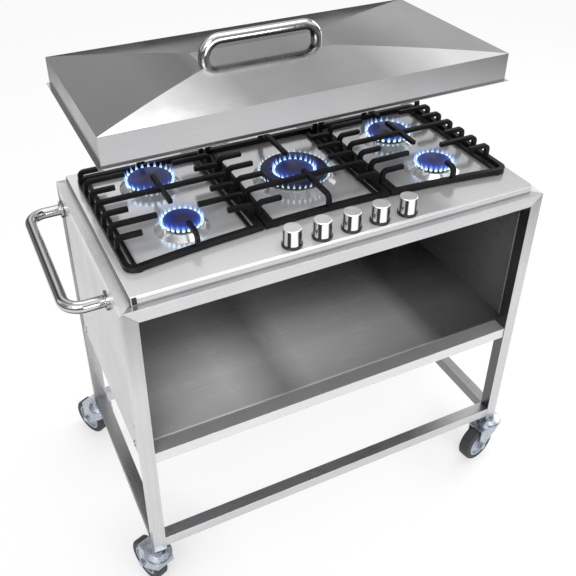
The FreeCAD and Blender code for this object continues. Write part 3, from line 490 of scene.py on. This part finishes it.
# The steel pieces get lighter or darker base tones and metal shares of their own: painted light and shade for
# how light falls on each
looks = {
    "leg": brushed("leg_steel", BRIGHT, 0.30, "z", 0.14, metallic=0.9, slopes=(INNER_FLANK,),
                   bands=(LEG_TOP_SHADE,)),
    "rear_leg": brushed("rear_leg_steel", BRIGHT, 0.30, "z", 0.14, metallic=0.9,
                        slopes=(INNER_FLANK, REAR_FLANK), bands=(LEG_TOP_SHADE,)),
    "counter_x": brushed("counter_steel_long", BRIGHT, 0.30, "x", 0.14, metallic=0.9, slopes=(DECK,)),
    "counter_y": brushed("counter_steel_short", (0.74, 0.74, 0.745), 0.30, "y", 0.14, metallic=0.35),
    "shelf_rail": brushed("shelf_rail_steel", (0.72, 0.72, 0.725), 0.34, "x", metallic=0.7),
    "rail_x": brushed("rail_steel_long", BRIGHT, 0.30, "x", 0.14, metallic=0.9, slopes=(TOPS,)),
    "rail_y": brushed("rail_steel_short", BRIGHT, 0.30, "y", metallic=0.9,
                      slopes=(SHORT_TOPS, LEFT_OUTER, RIGHT_INNER)),
    "left": brushed("left_sheet", STEEL, 0.30, "y", inside=LEFT_INSIDE, bands=(PANEL_SEAMS,)),
    "right": brushed("right_sheet", (0.90, 0.90, 0.905), 0.30, "y", metallic=0.7, slopes=(RIGHT_OUTER,),
                     bands=(RIGHT_INNER_LINE_AND_SHADE,)),
    "back": brushed("back_sheet", STEEL, 0.30, "y", inside=BACK_INSIDE),
    "shelf": brushed("shelf_sheet", (0.96, 0.96, 0.965), 0.22, "x", 0.10, metallic=0.2, waves=0.15,
                     bands=(SHELF_REFLECTION_BANDS, SHELF_DEPTH_SHADE), inside=SHELF_UNDER),
    "hob": brushed("hob_sheet", (0.94, 0.94, 0.94), 0.17, "y", 0.03, metallic=0.45,
                   slopes=(HOB_SIDE, HOB_FRONT), bands=(HOB_TOP_SHADE, HOB_EDGE_SHADE)),
    "lid": brushed("lid_sheet", (0.84, 0.84, 0.845), 0.17, "x", 0.05,
                   slopes=(LID_LEFT, LID_RIGHT, LID_BACK, LID_WALLS), bands=(LID_ROOF_REFLECTIONS,)),
    "cup": brushed("burner_cup_steel", (0.92, 0.92, 0.92), 0.20, "x", 0.03, metallic=0.7),
    "tray": brushed("tray_steel", (0.72, 0.72, 0.725), 0.24, "x"),
    "polished": polished("polished_tube", (0.80, 0.80, 0.81), 0.06, TUBE_PAINTED_REFLECTIONS),
    "rivet": polished("rivet_metal", (0.34, 0.34, 0.345), 0.28),
    "zinc": zinc("zinc_plate"),
    "tyre": moulded("tyre_rubber", (0.026, 0.027, 0.031), 0.6),
    "hub": moulded("hub_plastic", (0.34, 0.38, 0.44), 0.45),
    "stop": moulded("stop_plastic", (0.014, 0.014, 0.015), 0.5),
    "bezel": moulded("bezel_plastic", (0.012, 0.012, 0.012), 0.35),
    "ceramic": moulded("pin_ceramic", (0.62, 0.60, 0.56), 0.35),
    "iron": enamel("grate_iron", (0.004, 0.004, 0.0045), 0.42, 0.4),
    "crown": enamel("burner_alloy", (0.014, 0.014, 0.017), 0.5),
    "cap": burner_cap("flame_lit_burner_cap_enamel"),
    "brass": polished("turned_brass", (0.72, 0.52, 0.22), 0.30),
    "pipe": polished("gas_tube", (0.66, 0.66, 0.67), 0.30),
}
node_looks = {
    "front_legs": "leg", "rear_legs": "rear_leg",
    "top_rails_long": "counter_x", "top_rails_short": "counter_y",
    "shelf_rails_long": "shelf_rail", "shelf_rails_short": "rail_y",
    "bottom_rails_long": "rail_x", "bottom_rails_short": "rail_y",
    "left_panel": "left", "right_panel": "right", "back_panel": "back", "shelf": "shelf",
    "panel_rivets": "rivet", "handle_screws": "rivet",
    "push_handle": "polished", "handle_flanges": "polished", "lid_handle": "polished",
    "caster_stems": "zinc",
    "hob_pan": "hob", "hob_stop": "stop", "burner_box": "tray",
    "burner_cups": "cup", "burner_crowns": "crown", "burner_caps": "cap",
    "igniter_pins": "ceramic", "gas_pipes": "pipe", "gas_inlet": "brass", "valve_bodies": "brass",
    "knob_bezels": "bezel", "lid_shell": "lid",
    "grate_left": "iron", "grate_centre": "iron", "grate_right": "iron",
}
for corner in CORNERS:
    for piece, look in (("fork", "zinc"), ("axle", "zinc"), ("tyre", "tyre"), ("hub", "hub")):
        node_looks["caster_%s_%s" % (corner, piece)] = look
for number in range(1, KNOBS + 1):
    knob = "knob_%d" % number
    low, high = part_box(knob)
    looks[knob] = spun(knob + "_chrome", (0.90, 0.90, 0.91), 0.10, (low + high) / 2)
    node_looks[knob] = knob
    node_looks["valve_shaft_%d" % number] = "brass"
for node, look in node_looks.items():
    nodes[node].data.materials.clear()
    nodes[node].data.materials.append(looks[look])


# Width in millimetres and segments of rounded edges
FRAME_EDGE = (0.8, 2)
GRATE_EDGE = (2.2, 3)
# Vertices closer than this in metres are one, faces flatter than the first angle are one, and edges sharper
# than the second are rounded
WELD = 2e-6
FLAT_ANGLE = math.radians(1.0)
EDGE_ANGLE = math.radians(32)


def softened(node, width, segments):
    """A copy of a node with rounded edges, which stands for it."""
    source = nodes[node]
    data = source.data.copy()
    mesh = bmesh.new()
    mesh.from_mesh(data)
    bmesh.ops.remove_doubles(mesh, verts=mesh.verts, dist=WELD)
    bmesh.ops.dissolve_limit(mesh, angle_limit=FLAT_ANGLE, verts=mesh.verts, edges=mesh.edges)
    mesh.to_mesh(data)
    mesh.free()
    for face in data.polygons:
        face.use_smooth = True
    piece = bpy.data.objects.new(node + "_rounded", data)
    bpy.context.scene.collection.objects.link(piece)
    bevel = piece.modifiers.new("edges", "BEVEL")
    bevel.width = width * MM
    bevel.segments = segments
    bevel.limit_method = "ANGLE"
    bevel.angle_limit = EDGE_ANGLE
    normals = piece.modifiers.new("normals", "WEIGHTED_NORMAL")
    normals.keep_sharp = True
    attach(piece, source["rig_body"])
    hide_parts(node)


for node in ("front_legs", "rear_legs", "top_rails_long", "top_rails_short", "shelf_rails_long",
             "shelf_rails_short", "bottom_rails_long", "bottom_rails_short"):
    softened(node, *FRAME_EDGE)
for node in ("grate_left", "grate_centre", "grate_right"):
    softened(node, *GRATE_EDGE)


# Heights of a flame's foot and of the end of its colours above the crown's seat, and the foot's distance from
# the edge of the cap, in millimetres
FLAME_FOOT = 5.0
FLAME_END = 26.0
FLAME_STANDOFF = 2.0
FLAME_GLOW = 1.5


def flame_material(name, cover_low, cover_high):
    """White at the port, then blue, and clear at the tip."""
    t = material_tree(name)
    foot, end = (CROWN_SEAT + FLAME_FOOT) * MM, (CROWN_SEAT + FLAME_END) * MM
    height = t.spread(t.axis("Z"), 0.0, 1.0, foot, end)
    colour = t.ramp(height, (0.0, (0.75, 0.95, 1.0)), (0.24, (0.70, 0.92, 1.0)), (0.42, (0.22, 0.48, 1.0)),
                    (0.7, (0.16, 0.24, 1.0)), (1.0, (0.40, 0.36, 1.0)))
    cover = t.ramp(height, (0.0, cover_low), (0.26, cover_low), (0.5, cover_high), (1.0, 0.02))
    clear = t.add("ShaderNodeBsdfTransparent")
    t.join(t.mix(cover, clear.outputs["BSDF"], t.glow(colour, FLAME_GLOW)), t.out.inputs["Surface"])
    return t.material


# Height, half width and outward lean of a flame, in millimetres
BURNER_FLAME = (20.0, 3.4, 5.0)
OUTER_FLAME = (14.0, 2.6, 4.0)
# Shares of a flame's height, and how wide it is there
FLAME_PROFILE = ((0.0, 0.45), (0.10, 0.95), (0.24, 1.0), (0.45, 0.74), (0.75, 0.38), (1.0, 0.0))
FLAME_SIDES = 10


def flame_ring(name, spot, radius, count, tall, wide, lean, look):
    """Teardrops that leave the ports, lean outwards and rise."""
    draw = random.Random(name)
    mesh = bmesh.new()
    start = Vector((*spot, CROWN_SEAT + FLAME_FOOT))
    for k in range(count):
        angle = 2 * math.pi * k / count
        out = Vector((math.cos(angle), math.sin(angle), 0))
        side = Vector((-math.sin(angle), math.cos(angle), 0))
        height = tall * draw.uniform(0.85, 1.15)
        rings = []
        for up, swell in FLAME_PROFILE:
            middle = start + out * (radius + lean * (1 - (1 - up) ** 2)) + Vector((0, 0, up * height))
            ring = []
            for s in range(FLAME_SIDES):
                turn = 2 * math.pi * s / FLAME_SIDES
                edge = (out * math.cos(turn) * 0.8 + side * math.sin(turn)) * wide * swell
                ring.append(mesh.verts.new((middle + edge) * MM))
            rings.append(ring)
        for lower, upper in zip(rings, rings[1:]):
            for s in range(FLAME_SIDES):
                after = (s + 1) % FLAME_SIDES
                mesh.faces.new((lower[s], lower[after], upper[after], upper[s]))
        mesh.faces.new(list(reversed(rings[0])))
    bmesh.ops.remove_doubles(mesh, verts=mesh.verts, dist=1e-6)
    data = bpy.data.meshes.new(name)
    mesh.to_mesh(data)
    mesh.free()
    for face in data.polygons:
        face.use_smooth = True
    data.materials.append(look)
    flames = bpy.data.objects.new(name, data)
    bpy.context.scene.collection.objects.link(flames)
    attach(flames, "cart")


bright_flame = flame_material("gas_flame", 0.95, 0.42)
faint_flame = flame_material("gas_flame_faint", 0.30, 0.16)
for burner, (x, y, radius) in BURNERS.items():
    flame_ring("flames_" + burner, (x, y), radius + FLAME_STANDOFF, PORTS, *BURNER_FLAME, bright_flame)
flame_ring("flames_outer", BURNERS["centre"][:2], OUTER_RING + FLAME_STANDOFF, RING_PORTS, *OUTER_FLAME,
           faint_flame)


# The floor's size, its own light beside a tyre and away from it, and the distances from a tyre between which
# that changes, in metres
WHITE = (1, 1, 1)
FLOOR_SIZE = 40.0
FLOOR_GLOW = (0.45, 0.84)
FLOOR_GLOW_REACH = (0.04, 0.24)
# Distances from the middle, in metres, between which mirrors see the floor go dark
FLOOR_DARK_REACH = (2.6, 3.6)
DARK_FLOOR = (0.08, 0.08, 0.085)


def pale_floor():
    """Shows white to the camera and near the object in mirrors, and keeps a soft shadow."""
    t = material_tree("floor")
    pale = t.ramp(t.noise(3.0), (0.3, 0.95), (0.7, 0.97))
    matte = t.add("ShaderNodeBsdfDiffuse")
    t.join(pale, matte.inputs["Color"])
    path = t.add("ShaderNodeLightPath")
    mirrored = t.math("MAXIMUM", path.outputs["Is Glossy Ray"], path.outputs["Is Transmission Ray"])
    seen = t.math("MAXIMUM", path.outputs["Is Camera Ray"], mirrored)
    near = None
    for corner in CORNERS:
        low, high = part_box("caster_%s_tyre" % corner)
        reach = t.add("ShaderNodeVectorMath", operation="DISTANCE")
        t.join(t.place(), reach.inputs[0])
        reach.inputs[1].default_value = ((low[0] + high[0]) / 2, (low[1] + high[1]) / 2, 0)
        near = reach.outputs["Value"] if near is None else t.math("MINIMUM", near, reach.outputs["Value"])
    share = t.spread(near, *FLOOR_GLOW, *FLOOR_GLOW_REACH)
    length = t.add("ShaderNodeVectorMath", operation="LENGTH")
    t.join(t.place(), length.inputs[0])
    far = t.math("MULTIPLY", mirrored, t.spread(length.outputs["Value"], 0.0, 1.0, *FLOOR_DARK_REACH))
    white = t.tint("MIX", far, WHITE, DARK_FLOOR)
    shader = t.mix(t.math("MULTIPLY", seen, share), matte.outputs["BSDF"], t.glow(white))
    t.join(shader, t.out.inputs["Surface"])
    bpy.ops.mesh.primitive_plane_add(size=FLOOR_SIZE)
    floor = bpy.context.object
    floor.name = "floor"
    floor.data.materials.append(t.material)


# Name, place, aim and size of each lamp, in metres, and its power in watts
LIGHTS = (
    ("key", (-2.2, -2.6, 3.4), (0, 0, 0.7), (2.4, 1.6), 70),
    ("top", (0.4, 0.6, 3.6), (0, 0, 0.8), (3.0, 2.0), 45),
    ("fill", (0.2, -2.6, 1.1), (0, 0, 0.6), (2.0, 0.8), 32),
    ("rim", (3.0, 0.6, 1.8), (0, 0, 0.6), (1.2, 1.8), 25),
)


def area_light(name, place, aim, size, power):
    data = bpy.data.lights.new(name, "AREA")
    data.shape = "RECTANGLE"
    data.size, data.size_y = size
    data.energy = power
    lamp = bpy.data.objects.new(name, data)
    bpy.context.scene.collection.objects.link(lamp)
    lamp.location = place
    lamp.rotation_mode = "QUATERNION"
    lamp.rotation_quaternion = (Vector(aim) - Vector(place)).to_track_quat("-Z", "Y")


# Shares of a turn round the room, from the front by the left and the back, and how dark the room is there
DARK_PANELS = ((0.0, 0.75), (0.09, 0.75), (0.11, 0.1), (0.2, 0.1), (0.22, 0.8), (0.30, 0.8), (0.33, 0.2),
               (0.36, 0.2), (0.38, 0.9), (0.46, 0.9), (0.49, 0.0), (0.68, 0.0), (0.70, 0.8), (0.78, 0.8),
               (0.80, 0.1), (0.88, 0.1), (0.90, 0.75), (1.0, 0.75))
DARK_ROOM = (0.04, 0.04, 0.045)
WORLD_LIGHT = 0.6


def studio_world():
    """Soft light all round, white to the camera, with dark panels and a dark horizon in mirrors."""
    world = bpy.data.worlds.new("world")
    bpy.context.scene.world = world
    world.use_nodes = True
    t = Tree(world.node_tree, "ShaderNodeOutputWorld")
    rise, ahead = t.axis("Z", "Generated"), t.axis("Y", "Generated")
    room = t.ramp(rise, (0.0, 0.95), (0.3, 0.86), (0.75, 1.0))
    band = t.ramp(rise, (0.02, 0.0), (0.14, 0.92), (0.62, 0.92), (0.9, 0.0))
    bearing = t.math("ARCTAN2", t.axis("X", "Generated"), ahead)
    panels = t.ramp(t.spread(bearing, 0.0, 1.0, -math.pi, math.pi), *DARK_PANELS)
    horizon = t.ramp(rise, (0.0, 0.92), (0.08, 0.92), (0.18, 0.0))
    gloom = t.math("MAXIMUM", t.math("MULTIPLY", band, panels), horizon)
    mirrored = t.tint("MIX", gloom, room, DARK_ROOM)
    path = t.add("ShaderNodeLightPath")
    light = t.mix(path.outputs["Is Glossy Ray"], t.sky(room, WORLD_LIGHT), t.sky(mirrored))
    seen = t.math("MAXIMUM", path.outputs["Is Camera Ray"], path.outputs["Is Transmission Ray"])
    t.join(t.mix(seen, light, t.sky(WHITE)), t.out.inputs["Surface"])


pale_floor()
for name, place, aim, size, power in LIGHTS:
    area_light(name, place, aim, size, power)
studio_world()
bpy.context.scene.view_settings.view_transform = "Standard"
